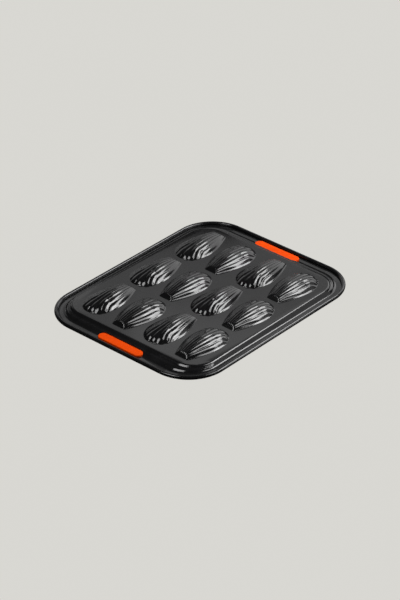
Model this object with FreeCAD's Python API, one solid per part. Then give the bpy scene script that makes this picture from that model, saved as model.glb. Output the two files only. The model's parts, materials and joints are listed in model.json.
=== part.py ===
import FreeCAD, Part
import math
import os
from FreeCAD import Vector

# A twelve-cup madeleine pan, lying bottom up as it is photographed: it stands on its rolled rim,
# and the twelve shell-shaped cups rise from the cup field. +X runs along the long side, +Z is up,
# and the origin is on the surface below the middle of the pan. All lengths are in millimetres.

# Steel sheet
sheet = 0.8                  # thickness, measured along the press stroke on the drawn steps

# Cups, in columns along X and rows along Y, neighbouring rows pointing opposite ways
columns = 3
rows = 4
cup_gap_x = 8.0              # flat strip between the ends of two cups
cup_gap_y = 5.5              # flat strip between the widest places of two cups
cup_length = 90.0
cup_width = 53.4
cup_widest_at = 56.0         # from the narrow end
cup_narrow_end = 22.4        # width of the square-cut end
cup_corner = 2.0             # rounding of the square-cut end's corners
cup_depth = 12.2
cup_crown_at = 45.0          # where the cup is deepest, from the narrow end
cup_end_share = 0.3          # part of the depth that the arch has at the narrow end
cup_fall_share = 0.5         # part of the depth lost between the crown and the wide end
cup_fall_power = 1.5
cup_side_power = 2.0         # 2 is a parabola across the cup, more is flatter on top
cup_narrow_power = 3.3       # the same at the narrow end
cup_tip_power = 7.0          # the same along the middle of the wide end
cup_end_slope = 1.0          # rise over run of the square-cut end's slant
cup_end_crease = 1.0         # softens the edge between the slant and the arch
cup_foot = 0.5               # softens the bend where a cup leaves the field
ribs_each_side = 4.3         # of the valley along the middle
rib_widening_share = 0.17    # how much wider the ribs get towards the edge
rib_height = 1.3
rib_mean_share = 0.7         # how much of a rib lies below the smooth arch
rib_valley_share = 0.2       # roundness of the valley between two ribs
rib_fade = 2.0               # depth of cup over which the ribs grow to full height
rib_fan_share = 1.3          # how far the ribs spread at the wide end
cup_tip_share = 0.25         # part of the wide end that one edge of the surface spans
cup_stations = 34
cup_lanes = 80
slope_step = 0.02            # reach of the slope measurement on the cup's form
half_turn = 180.0            # degrees, between the cups of neighbouring rows

# Cup field and its two drawn steps down to the flange
field_corner = 15.0          # corner of the block of cups
border_x = 5.0               # flat border between the block of cups and the short sides' step
border_y = 8.9
border_corner = 33.0
field_rise = 6.6             # cup field above the flange
ledge_drop = 2.85            # ledge on the short sides, below the cup field
ledge_fall = 0.2
upper_step_x = 6.8
ledge_x = 2.0
lower_step_x = 9.7
step_y = 8.8                 # the long sides go down in one step
step_rings = 8

# Flange and rolled rim
flange_x = 6.1
flange_y = 4.1
flange_lift = 0.55           # underside of the flange above the surface below
rim_turn = 5.5               # run in which the flange dips under the rim
turn_rings = 4
bead_radius = 2.9            # outside of the rolled rim
rim_corner = 61.5            # outer corner, seen from above
curl_from = -90.0            # degrees, straight below the wire
curl_to = 205.0
curl_rings = 20
wire_clearance = 0.1

# Silicone grips, one in a pocket of each short side
grip_length = 80.5
grip_width = 14.8
grip_rise = 2.65             # above the flange
grip_edge = 1.1              # rounding of the upper edge
grip_gap = 3.3               # between grip and rolled rim
grip_lip = 2.3               # overhang of the upper lip beyond the slot
grip_under_lip = 1.2         # overhang of the lip below the flange
pocket_clearance = 0.3

overrun = 1.0                # how far cutting tools reach past a face

# Heights
flange_top = flange_lift + sheet
field_top = flange_top + field_rise
ledge_top = field_top - ledge_drop
bead_z = bead_radius
curl_inner_radius = bead_radius - sheet

# Half sizes, from the middle outwards
cup_pitch_x = cup_length + cup_gap_x
cup_pitch_y = cup_width + cup_gap_y
block_x = columns * cup_pitch_x / 2
block_y = rows * cup_pitch_y / 2
field_x = block_x + border_x
field_y = block_y + border_y
ledge_from_x = field_x + upper_step_x
ledge_to_x = ledge_from_x + ledge_x
flange_from_x = ledge_to_x + lower_step_x
flange_from_y = field_y + step_y
flange_to_x = flange_from_x + flange_x
flange_to_y = flange_from_y + flange_y
bead_x = flange_to_x + rim_turn
bead_y = flange_to_y + rim_turn
bead_corner = rim_corner - bead_radius
flange_corner = bead_corner - rim_turn - flange_x
grip_x = bead_x - bead_radius - grip_gap - grip_width / 2


def rounded_ring(half_x, half_y, radius, z):
    """A level rounded rectangle about the Z axis, as a closed wire of four arcs and four lines."""
    edges = []
    corners = []
    quarter = math.pi / 2
    for index, (side_x, side_y) in enumerate(((1, -1), (1, 1), (-1, 1), (-1, -1))):
        middle = Vector(side_x * (half_x - radius), side_y * (half_y - radius), z)
        start = (index - 1) * quarter
        points = []
        for way in (start, start + quarter / 2, start + quarter):
            points.append(middle + Vector(math.cos(way), math.sin(way), 0) * radius)
        corners.append(points)
    for index, points in enumerate(corners):
        edges.append(Part.Arc(*points).toShape())
        following = corners[(index + 1) % len(corners)][0]
        edges.append(Part.LineSegment(points[-1], following).toShape())
    return Part.Wire(edges)


def oblong(length, width, z_low, z_high, middle_x):
    """An upright block with fully rounded ends, long in Y."""
    radius = width / 2
    reach = length / 2 - radius
    low, high = Vector(middle_x, -reach, z_low), Vector(middle_x, reach, z_low)
    side, end = Vector(radius, 0, 0), Vector(0, radius, 0)
    wire = Part.Wire([
        Part.LineSegment(low + side, high + side).toShape(),
        Part.Arc(high + side, high + end, high - side).toShape(),
        Part.LineSegment(high - side, low - side).toShape(),
        Part.Arc(low - side, low - end, low + side).toShape(),
    ])
    return Part.Face(wire).extrude(Vector(0, 0, z_high - z_low))


def drawn(share):
    """Fall of a drawn step at a share of its run: level at both ends."""
    return (1 - math.cos(math.pi * share)) / 2


def long_side(z):
    """Half width of the pan's step at height z, on the long sides."""
    fallen = (field_top - z) / field_rise
    return field_y + step_y * math.acos(1 - 2 * fallen) / math.pi


def step_sizes(from_x, run, from_z, fall):
    """Half sizes, corner and height of each ring of one step of the short sides."""
    sizes = []
    for index in range(1, step_rings + 1):
        share = index / step_rings
        z = from_z - fall * drawn(share)
        fallen = (field_top - z) / field_rise
        corner = border_corner + (flange_corner - border_corner) * fallen
        sizes.append((from_x + run * share, long_side(z), corner, z))
    return sizes


def drawn_skin():
    """Half sizes, corner and height of every ring of the upper skin, from the cups to the rim."""
    skin = [(block_x, block_y, field_corner, field_top), (field_x, field_y, border_corner, field_top)]
    skin += step_sizes(field_x, upper_step_x, field_top, ledge_drop)
    ledge_z = ledge_top - ledge_fall
    fallen = (field_top - ledge_z) / field_rise
    ledge_corner = border_corner + (flange_corner - border_corner) * fallen
    skin.append((ledge_to_x, long_side(ledge_z), ledge_corner, ledge_z))
    skin += step_sizes(ledge_to_x, lower_step_x, ledge_z, ledge_z - flange_top)
    skin.append((flange_to_x, flange_to_y, bead_corner - rim_turn, flange_top))
    for index in range(1, turn_rings):
        share = index / turn_rings
        out = rim_turn * share
        z = flange_top - flange_lift * drawn(share)
        skin.append((flange_to_x + out, flange_to_y + out, bead_corner - rim_turn + out, z))
    return skin


def curl_skin(radius):
    """Rings of the rolled rim at a radius from the wire's middle, from below outwards and back in."""
    skin = []
    for index in range(curl_rings + 1):
        way = math.radians(curl_from + (curl_to - curl_from) * index / curl_rings)
        out = radius * math.cos(way)
        skin.append((bead_x + out, bead_y + out, bead_corner + out, bead_z + radius * math.sin(way)))
    return skin


def lowered(skin):
    return [(half_x, half_y, corner, z - sheet) for half_x, half_y, corner, z in skin]


def ring_solid(sizes):
    """The closed solid whose section runs once round the given rings."""
    rings = [rounded_ring(*size) for size in sizes]
    faces = []
    for index, ring in enumerate(rings):
        following = rings[(index + 1) % len(rings)]
        for edge, next_edge in zip(ring.Edges, following.Edges):
            faces.append(Part.makeRuledSurface(edge, next_edge))
    return closed_solid(faces)


def closed_solid(faces):
    """The solid enclosed by faces that meet edge to edge."""
    shell = Part.Shell(faces)
    shell.sewShape()
    solid = Part.Solid(Part.Shell(shell.Faces))
    if solid.Volume < 0:
        solid.reverse()
    return solid


def rim_frame():
    """The sheet outside the cups: border, steps, flange and the rim rolled round its wire."""
    upper = drawn_skin()
    section = upper + curl_skin(curl_inner_radius) + curl_skin(bead_radius)[::-1] + lowered(upper)[::-1]
    frame = ring_solid(section)
    for side in (-1, 1):
        frame = with_pocket(frame, side * grip_x)
    return frame


def with_pocket(frame, middle_x):
    """The frame with a flat-floored pocket and a slot for one grip."""
    inner_length = grip_length + 2 * pocket_clearance
    inner_width = grip_width + 2 * pocket_clearance
    outer_length = inner_length + 2 * sheet
    outer_width = inner_width + 2 * sheet
    top = field_top + overrun
    pressed_out = oblong(outer_length, outer_width, flange_lift, top, middle_x)
    hollow = oblong(inner_length, inner_width, flange_top, top, middle_x)
    mass = under_steps_block(middle_x)
    pocket = pressed_out.cut(hollow).common(mass)
    slot_length = grip_length - 2 * grip_lip
    slot_width = grip_width - 2 * grip_lip
    slot = oblong(slot_length, slot_width, flange_lift - overrun, flange_top + overrun, middle_x)
    return frame.cut(pressed_out).fuse(pocket).cut(slot).removeSplitter()


def under_steps_block(middle_x):
    """The room below the steps' upper skin, on the side where middle_x lies."""
    upper = drawn_skin()
    side = 1 if middle_x > 0 else -1
    points = [Vector(side * x, -grip_length, z) for x, _, _, z in upper]
    floor = [Vector(point.x, -grip_length, flange_lift) for point in (points[-1], points[0])]
    wire = Part.makePolygon(points + floor + [points[0]])
    return Part.Face(wire).extrude(Vector(0, 2 * grip_length, 0))


def rim_wire():
    """The steel wire that the rim is rolled round."""
    path = rounded_ring(bead_x, bead_y, bead_corner, bead_z)
    start = path.Edges[0].valueAt(path.Edges[0].FirstParameter)
    heading = path.Edges[0].tangentAt(path.Edges[0].FirstParameter)
    circle = Part.Circle(start, heading, curl_inner_radius - wire_clearance)
    return path.makePipeShell([Part.Wire(circle.toShape())], True, False)


def grip(middle_x):
    """A silicone grip: an upper body with rounded edges, a waist in the slot and a lip below."""
    slot_length = grip_length - 2 * grip_lip
    slot_width = grip_width - 2 * grip_lip
    body = oblong(grip_length, grip_width, flange_top, flange_top + grip_rise, middle_x)
    body = body.makeFillet(grip_edge, [edge for edge in body.Edges if edge.BoundBox.ZMin > flange_top])
    waist = oblong(slot_length, slot_width, flange_lift, flange_top, middle_x)
    lip = 2 * grip_under_lip
    below = oblong(slot_length + lip, slot_width + lip, 0, flange_lift, middle_x)
    return body.fuse(waist).fuse(below).removeSplitter()


def cup_half_width(s):
    """Half width of a cup's mouth at a distance s from its narrow end."""
    narrow, wide = cup_narrow_end / 2, cup_width / 2
    if s > cup_widest_at:
        beyond = (s - cup_widest_at) / (cup_length - cup_widest_at)
        return wide * math.sqrt(max(1 - beyond * beyond, 0))
    width = narrow + (wide - narrow) * math.sin(math.pi / 2 * s / cup_widest_at)
    if s < cup_corner:
        width -= cup_corner * (1 - s / cup_corner) ** 2
    return width


def cup_height(s, y):
    """Height of the ribbed shell above the cup field, at s from its narrow end and y off its middle."""
    wide = cup_width / 2
    if s <= 0 or s >= cup_length:
        return 0.0
    fan = cup_half_width(s)
    out = abs(y) / fan
    start = max(1 - s / cup_crown_at, 0) ** 2
    power = cup_side_power + (cup_narrow_power - cup_side_power) * start
    if s > cup_widest_at:
        beyond = (s - cup_widest_at) / (cup_length - cup_widest_at)
        out = math.hypot(beyond, y / wide)
        power = cup_side_power + (cup_tip_power - cup_side_power) * (beyond / out) ** 2
        fan = wide * (1 + rib_fan_share * beyond * beyond)
    if out >= 1:
        return 0.0
    past = max(s - cup_crown_at, 0) / (cup_length - cup_crown_at)
    depth = cup_depth * (1 - (1 - cup_end_share) * start) * (1 - cup_fall_share * past ** cup_fall_power)
    arch = depth * (1 - out ** power)
    height = arch + rib(abs(y) / fan) * min(fan / wide, 1) * grown(arch / rib_fade)
    slant = cup_end_slope * s
    height = (height + slant - math.hypot(height - slant, cup_end_crease)) / 2
    return height * height / (height + cup_foot) if height > 0 else 0.0


def rib(lane):
    """Rise of the ribs above the smooth arch, at a share of the way from the middle to the edge."""
    turn = ribs_each_side * lane * (1 + rib_widening_share * (1 - lane))
    ridge = math.hypot(math.sin(math.pi * turn), rib_valley_share)
    return rib_height * (ridge - rib_mean_share)


def grown(share):
    """A smooth rise from 0 to 1, level at both ends."""
    share = min(share, 1)
    return share * share * (3 - 2 * share)


def cup_place(station, lane):
    """Distance from the narrow end and offset from the middle of one point of the cup's grid."""
    wide = cup_width / 2
    end_run = cup_length - cup_widest_at
    last = cup_widest_at + end_run * math.sqrt(1 - cup_tip_share ** 2)
    s = last * drawn(station / cup_stations)
    across = -math.cos(math.pi * lane / cup_lanes)
    y = across * cup_half_width(s)
    if s > cup_widest_at:
        bulge = cup_widest_at + end_run * math.sqrt(1 - (across * cup_tip_share) ** 2) - last
        s += bulge * ((s - cup_widest_at) / (last - cup_widest_at)) ** 2
    return s, y


def cup_skins():
    """The shell's upper skin and its lower skin, one sheet thickness below, as two faces."""
    upper, lower = [], []
    for station in range(cup_stations + 1):
        upper_row, lower_row = [], []
        for lane in range(cup_lanes + 1):
            s, y = cup_place(station, lane)
            rim = station in (0, cup_stations) or lane in (0, cup_lanes)
            height = 0 if rim else cup_height(s, y)
            point = Vector(s - cup_length / 2, y, height)
            along = cup_height(s + slope_step, y) - cup_height(s - slope_step, y)
            across = cup_height(s, y + slope_step) - cup_height(s, y - slope_step)
            normal = Vector(-along, -across, 2 * slope_step)
            if rim:
                normal = Vector(0, 0, 1)
            normal.normalize()
            upper_row.append(point)
            lower_row.append(point - normal * sheet)
        upper.append(upper_row)
        lower.append(lower_row)
    return woven_face(upper), woven_face(lower)


def woven_face(points):
    """A smooth face drawn by a grid of control points."""
    degree = 3
    knots = []
    for count in (len(points), len(points[0])):
        spans = count - degree
        times = [degree + 1] + [1] * (spans - 1) + [degree + 1]
        knots.append((times, [index / spans for index in range(spans + 1)]))
    surface = Part.BSplineSurface()
    surface.buildFromPolesMultsKnots(
        points, knots[0][0], knots[1][0], knots[0][1], knots[1][1], False, False, degree, degree
    )
    return surface.toShape()


def cup_tile(skins, turn):
    """One cup with its share of the cup field, about the Z axis, its narrow end turned by degrees."""
    upper, lower = [skin.copy() for skin in skins]
    for skin in (upper, lower):
        skin.rotate(Vector(0, 0, 0), Vector(0, 0, 1), turn)
    faces = [upper, lower]
    half_x, half_y = cup_pitch_x / 2, cup_pitch_y / 2
    corners = [(-half_x, -half_y), (half_x, -half_y), (half_x, half_y), (-half_x, half_y)]
    for skin, z in ((upper, 0), (lower, -sheet)):
        points = [Vector(x, y, z) for x, y in corners]
        outline = Part.makePolygon(points + points[:1])
        faces.append(Part.makeFace([outline, skin.OuterWire], "Part::FaceMakerBullseye"))
    for index, (x, y) in enumerate(corners):
        next_x, next_y = corners[(index + 1) % len(corners)]
        high, next_high = Vector(x, y, 0), Vector(next_x, next_y, 0)
        low, next_low = Vector(x, y, -sheet), Vector(next_x, next_y, -sheet)
        faces.append(Part.Face(Part.makePolygon([high, next_high, next_low, low, high])))
    return closed_solid(faces)


def block_of_cups():
    """The room that the cup tiles share: the frame's inner edge, with its rounded corners."""
    ring = rounded_ring(block_x, block_y, field_corner, field_top - sheet - overrun)
    return Part.Face(ring).extrude(Vector(0, 0, cup_depth + rib_height + sheet + 2 * overrun))


def cups():
    """Every cup by name: rows a, b, c ... from the far long side, columns 1, 2, 3 ... along X."""
    skins = cup_skins()
    tiles = (cup_tile(skins, half_turn), cup_tile(skins, 0))
    block = block_of_cups()
    named = {}
    for row in range(rows):
        for column in range(columns):
            x = (column - (columns - 1) / 2) * cup_pitch_x
            y = ((rows - 1) / 2 - row) * cup_pitch_y
            tile = tiles[row % 2].copy()
            tile.translate(Vector(x, y, field_top))
            if row in (0, rows - 1) and column in (0, columns - 1):
                tile = tile.common(block)
            named["cup_" + chr(ord("a") + row) + str(column + 1)] = tile
    return named


def main():
    os.makedirs("parts", exist_ok=True)
    nodes = {"rim_frame": rim_frame(), "rim_wire": rim_wire()}
    nodes["grip_left"] = grip(-grip_x)
    nodes["grip_right"] = grip(grip_x)
    nodes.update(cups())
    for name, shape in nodes.items():
        box = shape.BoundBox
        print(name, shape.isValid(), len(shape.Solids), round(shape.Volume, 1), box)
        shape.exportStep("parts/" + name + ".step")


main()
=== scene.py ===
import json
import math

import bpy
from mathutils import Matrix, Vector


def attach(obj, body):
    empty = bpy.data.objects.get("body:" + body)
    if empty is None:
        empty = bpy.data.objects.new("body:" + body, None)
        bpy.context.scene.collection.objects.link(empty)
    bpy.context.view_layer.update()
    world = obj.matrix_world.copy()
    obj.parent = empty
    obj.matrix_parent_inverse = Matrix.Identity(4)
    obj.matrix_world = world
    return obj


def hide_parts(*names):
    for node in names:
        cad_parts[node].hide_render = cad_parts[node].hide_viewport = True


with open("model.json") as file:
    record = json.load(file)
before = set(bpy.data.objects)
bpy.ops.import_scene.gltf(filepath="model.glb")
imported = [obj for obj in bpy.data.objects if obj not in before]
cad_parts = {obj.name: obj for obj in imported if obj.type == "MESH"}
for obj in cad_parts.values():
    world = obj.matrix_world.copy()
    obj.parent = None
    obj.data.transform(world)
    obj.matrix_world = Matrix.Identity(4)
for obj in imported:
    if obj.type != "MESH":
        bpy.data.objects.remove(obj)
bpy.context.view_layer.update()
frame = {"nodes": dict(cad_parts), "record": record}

# A madeleine pan lying bottom up on a pale floor. The frame, the wire inside its rolled rim and the
# two silicone grips show their own solids' meshes, and twelve shells made here stand in place of
# the cups. Lengths are in metres, apart from the shells' own.

MM = 0.001

# The photograph's view, on the middle of the pan at the height of the rim's wire
view_height = 2.9 * MM
view_azimuth = -48.49        # degrees, 0 is towards -Y and 90 towards +X
view_elevation = 31.91
view_distance = 3.3545
view_reach = 50.0            # how far the camera sees
sensor_width = 36.0
image_height = 600
focal_pixels = 2347.0
middle_right_pixels = 1.17   # from the middle of the picture to the middle of the pan
middle_up_pixels = 3.58

# Shells, in millimetres: the cups' pressed form with its ribs at full sharpness
sheet = 0.8                  # thickness
field_top = 7.95             # height of the flat field between the shells
shell_pitch_x = 98.0
shell_pitch_y = 58.9
shell_columns = 3
shell_rows = 4
row_letters = "abcd"         # from the far long side, where Y is greatest
block_corner = 15.0          # corner of the block of shells
shell_length = 90.0
shell_width = 53.4
shell_widest_at = 56.0       # from the narrow end
shell_narrow_end = 22.4      # width of the square-cut end
shell_corner = 2.0           # rounding of the square-cut end's corners
shell_depth = 12.1
shell_crown_at = 45.0        # where the shell is highest, from the narrow end
shell_end_share = 0.37       # part of the depth that the arch has at the narrow end
shell_fall_share = 0.5       # part of the depth lost between the crown and the wide end
shell_fall_power = 1.5
shell_side_power = 2.0       # 2 is a parabola across the shell, more is flatter on top
shell_narrow_power = 3.3     # the same at the narrow end
shell_tip_power = 7.0        # the same along the middle of the wide end
shell_end_slope = 1.0        # rise over run of the square-cut end's slant
shell_end_crease = 0.7       # softens the edge between the slant and the arch
shell_foot = 0.4             # softens the bend where a shell leaves the field
ribs_each_side = 4.3         # of the valley along the middle
rib_widening_share = 0.17    # how much wider the ribs get towards the edge
rib_height = 1.0
rib_outer_loss = 0.7         # part of that height lost on the way to the edge
rib_mean_share = 0.75        # how much of a rib lies below the smooth arch
rib_valley_share = 0.1       # roundness of the valley between two ribs
rib_fade = 2.0               # height of arch over which the ribs grow to full height
rib_fan_share = 1.3          # how far the ribs spread at the wide end
shell_tip_share = 0.25       # part of the wide end that the last row of points spans
shell_stations = 110         # rows of faces along a shell
shell_lanes = 144            # faces across it in each row
slope_reach = 0.02           # reach of the slope measurement on the shell's form
foot_ring = 0.6              # flat ring around the foot of a shell
least_way = 1e-9             # a way with less than this along an axis never meets that side
tile_half = Vector((shell_pitch_x / 2, shell_pitch_y / 2))

# Smooth shading of the solids' own meshes
crease_angle = 50.0          # degrees, edges that bend more stay sharp
weld_distance = 0.00001

# Floor
floor_size = 12.0
floor_gap = 0.05 * MM        # below the surface that the pan stands on
floor_tones = (0.688, 0.680, 0.645, 1.0), (0.694, 0.686, 0.651, 1.0)

# Softboxes: the azimuth and elevation where each hangs, its width and height in degrees as seen
# from the pan, and its brightness
softbox_distance = 1.1
softboxes = {
    "key_right": (58.0, 47.0, 34.0, 13.0, 10.0),
    "key_left": (30.0, 55.5, 32.0, 14.0, 6.0),
    "key_back": (85.0, 50.0, 18.0, 12.0, 1.2),
    "front_right": (18.0, 31.0, 20.0, 10.0, 3.5),
    "front_low": (34.0, 12.0, 12.0, 20.0, 2.2),
    "front_dim": (45.0, 24.0, 30.0, 26.0, 0.5),
    "over_left": (-106.0, 56.0, 26.0, 20.0, 6.0),
    "right_low": (90.0, 27.0, 30.0, 36.0, 1.6),
    "far_high": (120.0, 40.0, 32.0, 10.0, 0.3),
    "far_fill": (128.0, 34.0, 38.0, 14.0, 0.5),
    "far_right": (114.0, 23.0, 24.0, 9.0, 0.45),
    "far_left": (163.0, 22.0, 32.0, 24.0, 0.3),
    "far_low": (146.0, 8.0, 60.0, 22.0, 0.4),
}
room_brightness = 0.016
black = (0.0, 0.0, 0.0, 1.0)
white = (1.0, 1.0, 1.0, 1.0)


def direction(azimuth, elevation):
    """Unit vector from the pan towards a place: azimuth 0 is towards -Y, and 90 towards +X."""
    around, up = math.radians(azimuth), math.radians(elevation)
    return Vector((math.sin(around) * math.cos(up), -math.cos(around) * math.cos(up), math.sin(up)))


def add_camera():
    """The camera that took the photograph."""
    data = bpy.data.cameras.new("photo_camera")
    camera = bpy.data.objects.new("photo_camera", data)
    bpy.context.collection.objects.link(camera)
    towards = direction(view_azimuth, view_elevation)
    camera.location = Vector((0, 0, view_height)) + towards * view_distance
    camera.rotation_euler = towards.to_track_quat("Z", "Y").to_euler()
    data.sensor_width = sensor_width
    data.lens = sensor_width * focal_pixels / image_height
    data.shift_x = -middle_right_pixels / image_height
    data.shift_y = -middle_up_pixels / image_height
    data.clip_end = view_reach
    bpy.context.scene.camera = camera


def add_node(nodes, kind, **values):
    """A new node; each value is one of its settings or else one of its inputs."""
    node = nodes.new(kind)
    for name, value in values.items():
        if hasattr(node, name):
            setattr(node, name, value)
        else:
            node.inputs[name.replace("_", " ")].default_value = value
    return node


def new_group(name, takes, gives):
    """A shader node group with the given sockets, each a name and a kind."""
    group = bpy.data.node_groups.new(name, "ShaderNodeTree")
    for way, sockets in (("INPUT", takes), ("OUTPUT", gives)):
        for socket, kind in sockets.items():
            group.interface.new_socket(socket, in_out=way, socket_type="NodeSocket" + kind)
    nodes = group.nodes
    return group, nodes, group.links, nodes.new("NodeGroupInput"), nodes.new("NodeGroupOutput")


def clouding_group():
    """Soft uneven patches: a tone between two colours, and a gloss that follows it."""
    takes = {"Scale": "Float", "Dark": "Color", "Pale": "Color",
             "Smoothest": "Float", "Roughest": "Float"}
    gives = {"Color": "Color", "Roughness": "Float"}
    group, nodes, links, given, result = new_group("clouding", takes, gives)
    place = nodes.new("ShaderNodeTexCoord")
    noise = add_node(nodes, "ShaderNodeTexNoise", Detail=4.0, Roughness=0.55)
    spread = add_node(nodes, "ShaderNodeMapRange", From_Min=0.3, From_Max=0.7)
    tone = add_node(nodes, "ShaderNodeMix", data_type="RGBA")
    gloss = nodes.new("ShaderNodeMapRange")
    links.new(place.outputs["Object"], noise.inputs["Vector"])
    links.new(given.outputs["Scale"], noise.inputs["Scale"])
    links.new(noise.outputs["Fac"], spread.inputs["Value"])
    links.new(spread.outputs["Result"], tone.inputs["Factor"])
    links.new(given.outputs["Dark"], tone.inputs["A"])
    links.new(given.outputs["Pale"], tone.inputs["B"])
    links.new(spread.outputs["Result"], gloss.inputs["Value"])
    links.new(given.outputs["Smoothest"], gloss.inputs["To Min"])
    links.new(given.outputs["Roughest"], gloss.inputs["To Max"])
    links.new(tone.outputs["Result"], result.inputs["Color"])
    links.new(gloss.outputs["Result"], result.inputs["Roughness"])
    return group


def fine_grain_group():
    """A fine pebbled surface: its normal, and a mask of its highest grains."""
    takes = {"Scale": "Float", "Strength": "Float", "Height": "Float"}
    gives = {"Normal": "Vector", "Grains": "Float"}
    group, nodes, links, given, result = new_group("fine_grain", takes, gives)
    place = nodes.new("ShaderNodeTexCoord")
    noise = add_node(nodes, "ShaderNodeTexNoise", Detail=3.0, Roughness=0.5)
    bump = nodes.new("ShaderNodeBump")
    peaks = add_node(nodes, "ShaderNodeMapRange", From_Min=0.6, From_Max=0.75)
    links.new(place.outputs["Object"], noise.inputs["Vector"])
    links.new(given.outputs["Scale"], noise.inputs["Scale"])
    links.new(noise.outputs["Fac"], bump.inputs["Height"])
    links.new(given.outputs["Strength"], bump.inputs["Strength"])
    links.new(given.outputs["Height"], bump.inputs["Distance"])
    links.new(noise.outputs["Fac"], peaks.inputs["Value"])
    links.new(bump.outputs["Normal"], result.inputs["Normal"])
    links.new(peaks.outputs["Result"], result.inputs["Grains"])
    return group


def new_material(name):
    """A new material, its nodes and links, and its surface shader."""
    material = bpy.data.materials.new(name)
    material.use_nodes = True
    nodes = material.node_tree.nodes
    return material, nodes, material.node_tree.links, nodes["Principled BSDF"]


def placed(nodes, group, values):
    """A node group put into a material with its values."""
    node = nodes.new("ShaderNodeGroup")
    node.node_tree = group
    for name, value in values.items():
        node.inputs[name].default_value = value
    return node


def finish(name, groups, clouding, grain, pale_grains=None, **surface):
    """A clouded and grained material; pale_grains is the colour of its highest grains."""
    material, nodes, links, shader = new_material(name)
    cloud, pebbles = placed(nodes, groups[0], clouding), placed(nodes, groups[1], grain)
    tone = cloud.outputs["Color"]
    if pale_grains:
        together = add_node(nodes, "ShaderNodeMix", data_type="RGBA")
        together.inputs["B"].default_value = pale_grains
        links.new(pebbles.outputs["Grains"], together.inputs["Factor"])
        links.new(tone, together.inputs["A"])
        tone = together.outputs["Result"]
    links.new(tone, shader.inputs["Base Color"])
    links.new(cloud.outputs["Roughness"], shader.inputs["Roughness"])
    links.new(pebbles.outputs["Normal"], shader.inputs["Normal"])
    for value_name, value in surface.items():
        shader.inputs[value_name.replace("_", " ")].default_value = value
    return material


def coated_sheet(groups):
    """Charcoal non-stick coating: sprayed on, faintly clouded, with fine pale grains."""
    clouding = {"Scale": 38.0, "Dark": (0.006, 0.006, 0.0063, 1), "Pale": (0.011, 0.011, 0.0115, 1),
                "Smoothest": 0.10, "Roughest": 0.14}
    grain = {"Scale": 1500.0, "Strength": 0.02, "Height": 0.0002}
    pale_grains = (0.03, 0.03, 0.031, 1.0)
    return finish("coated_sheet", groups, clouding, grain, pale_grains, IOR=1.55)


def drawn_wire(groups):
    """Plain steel wire with a little tarnish and fine drawing marks."""
    clouding = {"Scale": 120.0, "Dark": (0.32, 0.31, 0.30, 1), "Pale": (0.5, 0.5, 0.5, 1),
                "Smoothest": 0.3, "Roughest": 0.5}
    grain = {"Scale": 1600.0, "Strength": 0.1, "Height": 0.0001}
    return finish("drawn_wire", groups, clouding, grain, Metallic=1.0)


def silicone(groups):
    """Orange silicone: satin, with a fine moulded grain and a slightly uneven tone."""
    clouding = {"Scale": 60.0, "Dark": (0.88, 0.07, 0.0, 1), "Pale": (0.96, 0.082, 0.0, 1),
                "Smoothest": 0.42, "Roughest": 0.58}
    grain = {"Scale": 2200.0, "Strength": 0.12, "Height": 0.0002}
    return finish("silicone", groups, clouding, grain, IOR=1.41, Specular_IOR_Level=0.1)


def rounded_shading(node, name):
    """Shades a pressed or moulded piece smoothly, except at its creases."""
    group = bpy.data.node_groups.new(name, "GeometryNodeTree")
    group.interface.new_socket("Geometry", in_out="INPUT", socket_type="NodeSocketGeometry")
    group.interface.new_socket("Geometry", in_out="OUTPUT", socket_type="NodeSocketGeometry")
    nodes, links = group.nodes, group.links
    given, result = nodes.new("NodeGroupInput"), nodes.new("NodeGroupOutput")
    plain = add_node(nodes, "GeometryNodeRemoveAttribute", Name="custom_normal")
    joined = add_node(nodes, "GeometryNodeMergeByDistance", Distance=weld_distance)
    faces = add_node(nodes, "GeometryNodeSetShadeSmooth", domain="FACE")
    bend = nodes.new("GeometryNodeInputMeshEdgeAngle")
    soft = add_node(nodes, "FunctionNodeCompare", operation="LESS_THAN", data_type="FLOAT")
    soft.inputs["B"].default_value = math.radians(crease_angle)
    edges = add_node(nodes, "GeometryNodeSetShadeSmooth", domain="EDGE")
    links.new(given.outputs["Geometry"], plain.inputs["Geometry"])
    links.new(plain.outputs["Geometry"], joined.inputs["Geometry"])
    links.new(joined.outputs["Geometry"], faces.inputs["Geometry"])
    links.new(faces.outputs["Geometry"], edges.inputs["Geometry"])
    links.new(bend.outputs["Unsigned Angle"], soft.inputs["A"])
    links.new(soft.outputs["Result"], edges.inputs["Shade Smooth"])
    links.new(edges.outputs["Geometry"], result.inputs["Geometry"])
    modifier = node.modifiers.new(name, "NODES")
    modifier.node_group = group


def drawn(share):
    """A smooth rise from 0 to 1, level at both ends."""
    return (1 - math.cos(math.pi * share)) / 2


def past_widest(s):
    """How far s lies beyond the widest place, as a share of the way to the wide end."""
    return (s - shell_widest_at) / (shell_length - shell_widest_at)


def shell_half_width(s):
    """Half width of a shell at its foot, at a distance s from its narrow end."""
    narrow, wide = shell_narrow_end / 2, shell_width / 2
    if s > shell_widest_at:
        beyond = past_widest(s)
        return wide * math.sqrt(max(1 - beyond * beyond, 0))
    width = narrow + (wide - narrow) * math.sin(math.pi / 2 * s / shell_widest_at)
    if s < shell_corner:
        width -= shell_corner * (1 - s / shell_corner) ** 2
    return width


def rib(lane):
    """Rise of the ribs above the smooth arch, at a share of the way from the middle to the edge."""
    turn = ribs_each_side * lane * (1 + rib_widening_share * (1 - lane))
    ridge = math.hypot(math.sin(math.pi * turn), rib_valley_share)
    return rib_height * (1 - rib_outer_loss * lane * lane) * (ridge - rib_mean_share)


def grown(share):
    """How far the ribs have grown: a smooth rise that ends at a share of 1."""
    share = min(share, 1)
    return share * share * (3 - 2 * share)


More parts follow.
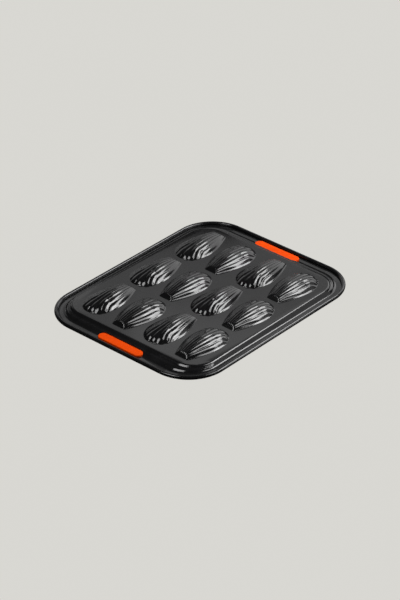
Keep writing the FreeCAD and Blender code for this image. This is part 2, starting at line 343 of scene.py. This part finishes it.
def shell_height(s, y):
    """Height of the ribbed shell above the field, at s from its narrow end and y off its middle."""
    if s <= 0 or s >= shell_length:
        return 0.0
    wide = shell_width / 2
    fan = shell_half_width(s)
    out = abs(y) / fan
    start = max(1 - s / shell_crown_at, 0) ** 2
    power = shell_side_power + (shell_narrow_power - shell_side_power) * start
    if s > shell_widest_at:
        beyond = past_widest(s)
        out = math.hypot(beyond, y / wide)
        power = shell_side_power + (shell_tip_power - shell_side_power) * (beyond / out) ** 2
        fan = wide * (1 + rib_fan_share * beyond * beyond)
    if out >= 1:
        return 0.0
    past = max(s - shell_crown_at, 0) / (shell_length - shell_crown_at)
    depth = shell_depth * (1 - (1 - shell_end_share) * start)
    depth *= 1 - shell_fall_share * past ** shell_fall_power
    arch = depth * (1 - out ** power)
    height = arch + rib(abs(y) / fan) * min(fan / wide, 1) * grown(arch / rib_fade)
    slant = shell_end_slope * s
    height = (height + slant - math.hypot(height - slant, shell_end_crease)) / 2
    return height * height / (height + shell_foot) if height > 0 else 0.0


def shell_place(station, lane):
    """Distance from the narrow end and offset from the middle of one point of the shell's grid."""
    end_run = shell_length - shell_widest_at
    last = shell_widest_at + end_run * math.sqrt(1 - shell_tip_share ** 2)
    s = last * drawn(station / shell_stations)
    across = -math.cos(math.pi * lane / shell_lanes)
    y = across * shell_half_width(s)
    if s > shell_widest_at:
        bulge = shell_widest_at + end_run * math.sqrt(1 - (across * shell_tip_share) ** 2) - last
        s += bulge * ((s - shell_widest_at) / (last - shell_widest_at)) ** 2
    return s, y


def shell_grid():
    """Upper and lower points of one shell, its narrow end towards -X, in rows of stations."""
    upper, lower = [], []
    for station in range(shell_stations + 1):
        for lane in range(shell_lanes + 1):
            s, y = shell_place(station, lane)
            rim = station in (0, shell_stations) or lane in (0, shell_lanes)
            point = Vector((s - shell_length / 2, y, 0.0 if rim else shell_height(s, y)))
            along = shell_height(s + slope_reach, y) - shell_height(s - slope_reach, y)
            across = shell_height(s, y + slope_reach) - shell_height(s, y - slope_reach)
            slope = Vector((-along, -across, 2 * slope_reach)).normalized()
            normal = Vector((0, 0, 1)) if rim else slope
            upper.append(point)
            lower.append(point - normal * sheet)
    return upper, lower


def border_loop():
    """Places in the grid of its outermost points, once around."""
    width = shell_lanes + 1
    loop = list(range(width))
    loop += [station * width + shell_lanes for station in range(1, shell_stations + 1)]
    loop += [shell_stations * width + lane for lane in range(shell_lanes - 1, -1, -1)]
    loop += [station * width for station in range(shell_stations - 1, 0, -1)]
    return loop


def tile_edge(way, rounded):
    """Where a ray from a tile's middle leaves it; rounded is the corner that the block rounds."""
    reach = min(tile_half[axis] / abs(way[axis]) for axis in (0, 1) if abs(way[axis]) > least_way)
    point = way * reach
    middle = tile_half - Vector((block_corner, block_corner))
    if rounded and point.x * rounded[0] > middle.x and point.y * rounded[1] > middle.y:
        centre = Vector((rounded[0] * middle.x, rounded[1] * middle.y))
        along = way.dot(centre)
        point = way * (along + math.sqrt(along * along - centre.length_squared + block_corner ** 2))
    return point


def tile_rings(border, rounded):
    """From a shell's border outwards: the flat ring around its foot, and the edge of its tile."""
    edge = [tile_edge(point.normalized(), rounded) for point in border]
    for corner in ((-1, -1), (-1, 1), (1, 1), (1, -1)):
        if corner != rounded:
            exact = Vector((corner[0] * tile_half.x, corner[1] * tile_half.y))
            nearest = min(range(len(edge)), key=lambda index: (edge[index] - exact).length)
            edge[nearest] = exact
    foot = [start + (end - start).normalized() * foot_ring for start, end in zip(border, edge)]
    return foot, edge


def skin_faces(base, count, loop, flip):
    """Faces of one skin, its count grid points starting at base: the grid, then the two rings."""
    width, around = shell_lanes + 1, len(loop)
    faces = []
    for station in range(shell_stations):
        for lane in range(shell_lanes):
            first = base + station * width + lane
            faces.append((first, first + width, first + width + 1, first + 1))
    rings = [[base + index for index in loop]]
    rings += [[base + count + ring * around + index for index in range(around)] for ring in (0, 1)]
    for inner, outer in zip(rings, rings[1:]):
        for index in range(around):
            following = (index + 1) % around
            faces.append((inner[following], outer[following], outer[index], inner[index]))
    return [face[::-1] for face in faces] if flip else faces


def shell_mesh(name, grid, turned, rounded):
    """One shell with its share of the flat field: both skins, and the tile's four sides."""
    upper, lower = grid
    sign = -1 if turned else 1
    loop = border_loop()
    foot, edge = tile_rings([sign * upper[index].xy for index in loop], rounded)
    points = []
    for skin, drop in ((upper, 0.0), (lower, -sheet)):
        points += [(sign * point.x, sign * point.y, point.z) for point in skin]
        points += [(point.x, point.y, drop) for point in foot + edge]
    count, around = len(upper), len(loop)
    below = count + 2 * around
    high, low = count + around, below + count + around
    faces = skin_faces(0, count, loop, False) + skin_faces(below, count, loop, True)
    skins = len(faces)
    for index in range(around):
        following = (index + 1) % around
        faces.append((high + following, low + following, low + index, high + index))
    mesh = bpy.data.meshes.new(name)
    mesh.from_pydata([tuple(value * MM for value in point) for point in points], [], faces)
    mesh.polygons.foreach_set("use_smooth", [index < skins for index in range(len(faces))])
    for line in mesh.edges:
        on_upper_edge = all(high <= end < below for end in line.vertices)
        on_lower_edge = all(end >= low for end in line.vertices)
        line.use_edge_sharp = on_upper_edge or on_lower_edge
    return mesh


def add_shells(coating):
    """The twelve shells, in rows that point alternate ways, each in place of its plain solid."""
    grid = shell_grid()
    for row in range(shell_rows):
        for column in range(shell_columns):
            place = row_letters[row] + str(column + 1)
            side = (-1 if column == 0 else 1, 1 if row == 0 else -1)
            corner = row in (0, shell_rows - 1) and column in (0, shell_columns - 1)
            mesh = shell_mesh("shell_" + place, grid, row % 2 == 0, side if corner else None)
            mesh.materials.append(coating)
            shell = bpy.data.objects.new("shell_" + place, mesh)
            bpy.context.collection.objects.link(shell)
            x = (column - (shell_columns - 1) / 2) * shell_pitch_x
            y = ((shell_rows - 1) / 2 - row) * shell_pitch_y
            shell.location = (x * MM, y * MM, field_top * MM)
            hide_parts("cup_" + place)
            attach(shell, "root")


def pale_floor():
    """A plain pale sheet under the pan, evenly bright."""
    bpy.ops.mesh.primitive_plane_add(size=floor_size, location=(0, 0, -floor_gap))
    floor = bpy.context.object
    floor.name = "floor"
    material, nodes, links, shader = new_material("pale_floor")
    place = nodes.new("ShaderNodeTexCoord")
    paper = add_node(nodes, "ShaderNodeTexNoise", Scale=3.0, Detail=2.0)
    links.new(place.outputs["Object"], paper.inputs["Vector"])
    tone = add_node(nodes, "ShaderNodeMix", data_type="RGBA")
    tone.inputs["A"].default_value, tone.inputs["B"].default_value = floor_tones
    links.new(paper.outputs["Fac"], tone.inputs["Factor"])
    links.new(tone.outputs["Result"], shader.inputs["Emission Color"])
    shader.inputs["Emission Strength"].default_value = 1.0
    shader.inputs["Base Color"].default_value = black
    shader.inputs["Specular IOR Level"].default_value = 0.0
    floor.data.materials.append(material)
    floor.visible_glossy = False
    floor.visible_diffuse = False


def add_softbox(name, azimuth, elevation, width, height, brightness):
    """A rectangular light that faces the pan; its brightness is the radiance seen from there."""
    across, up = [2 * softbox_distance * math.tan(math.radians(angle) / 2)
                  for angle in (width, height)]
    data = bpy.data.lights.new(name, "AREA")
    data.shape = "RECTANGLE"
    data.size = across
    data.size_y = up
    data.energy = brightness * math.pi * across * up
    light = bpy.data.objects.new(name, data)
    bpy.context.collection.objects.link(light)
    way = direction(azimuth, elevation)
    light.location = way * softbox_distance
    light.rotation_euler = way.to_track_quat("Z", "Y").to_euler()


def studio_light():
    """A dim, even room with the softboxes in it."""
    world = bpy.data.worlds.new("studio")
    bpy.context.scene.world = world
    world.use_nodes = True
    background = world.node_tree.nodes["Background"]
    background.inputs["Color"].default_value = white
    background.inputs["Strength"].default_value = room_brightness
    for name, values in softboxes.items():
        add_softbox(name, *values)
    bpy.context.scene.view_settings.view_transform = "Standard"


groups = clouding_group(), fine_grain_group()
finishes = {
    "coated_sheet": coated_sheet(groups),
    "wire": drawn_wire(groups),
    "silicone": silicone(groups),
}
for part in frame["record"]["subparts"]:
    node = frame["nodes"][part["node"]]
    node.data.materials.clear()
    node.data.materials.append(finishes[part["material_slot"]])
rounded_shading(frame["nodes"]["rim_frame"], "rolled_rim_shading")
for grip in ("grip_left", "grip_right"):
    rounded_shading(frame["nodes"][grip], grip + "_shading")

add_shells(finishes["coated_sheet"])
add_camera()
pale_floor()
studio_light()
